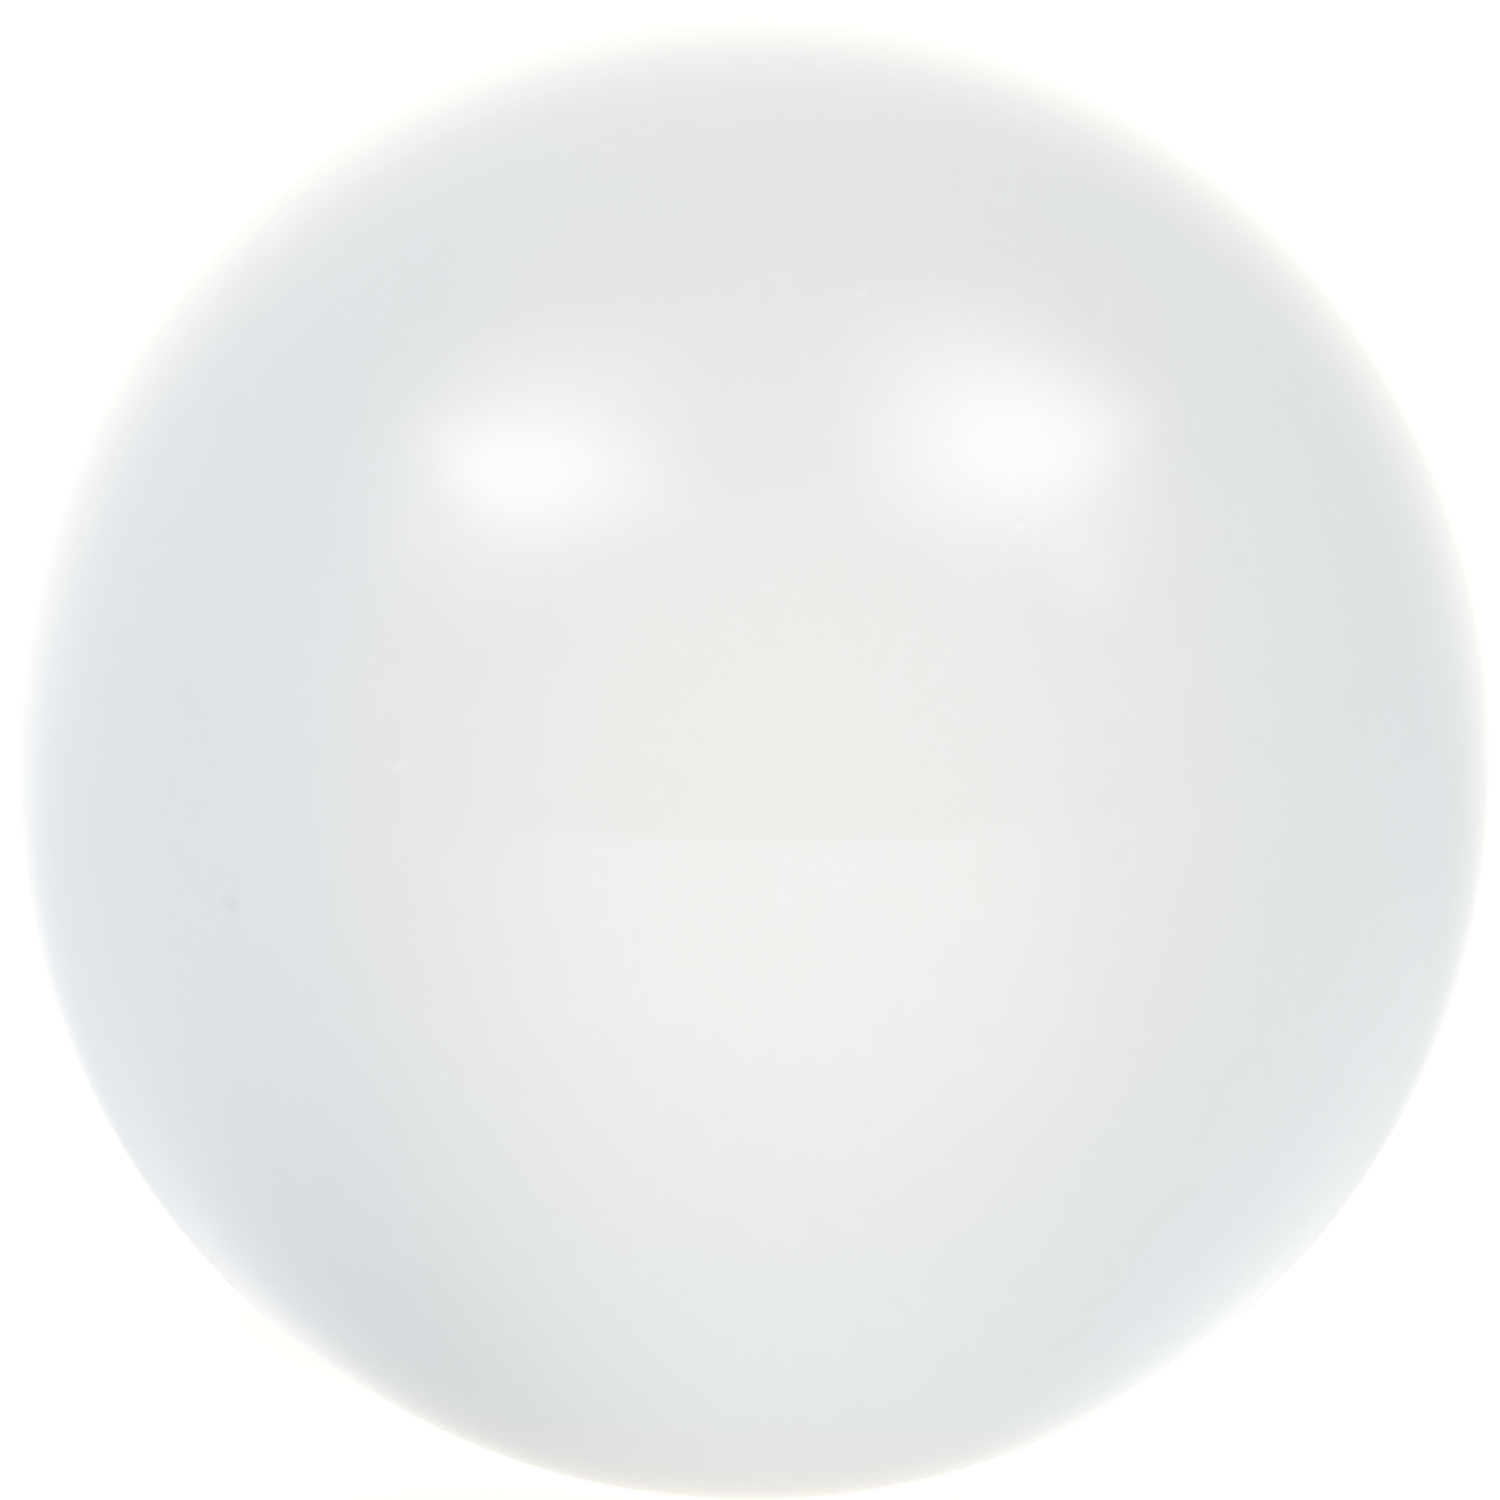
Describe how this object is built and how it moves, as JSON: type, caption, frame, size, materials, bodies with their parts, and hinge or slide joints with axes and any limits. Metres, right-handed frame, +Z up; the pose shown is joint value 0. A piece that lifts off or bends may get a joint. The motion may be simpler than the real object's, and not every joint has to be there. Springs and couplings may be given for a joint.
{
  "type": "cue ball",
  "caption": "Plain white cue ball for pool: one solid, polished resin sphere with no markings, which rests on a single point.",
  "frame": {"origin": "centre of the ball", "axes": "+Z up from the surface that the ball rests on; X and Y are level, and any two would do, because the ball is the same all round"},
  "size_m": [0.0572, 0.0572, 0.0572],
  "materials": {
    "resin": "polished"
  },
  "bodies": {
    "root": {"ball": "resin"}
  },
  "joints": []
}
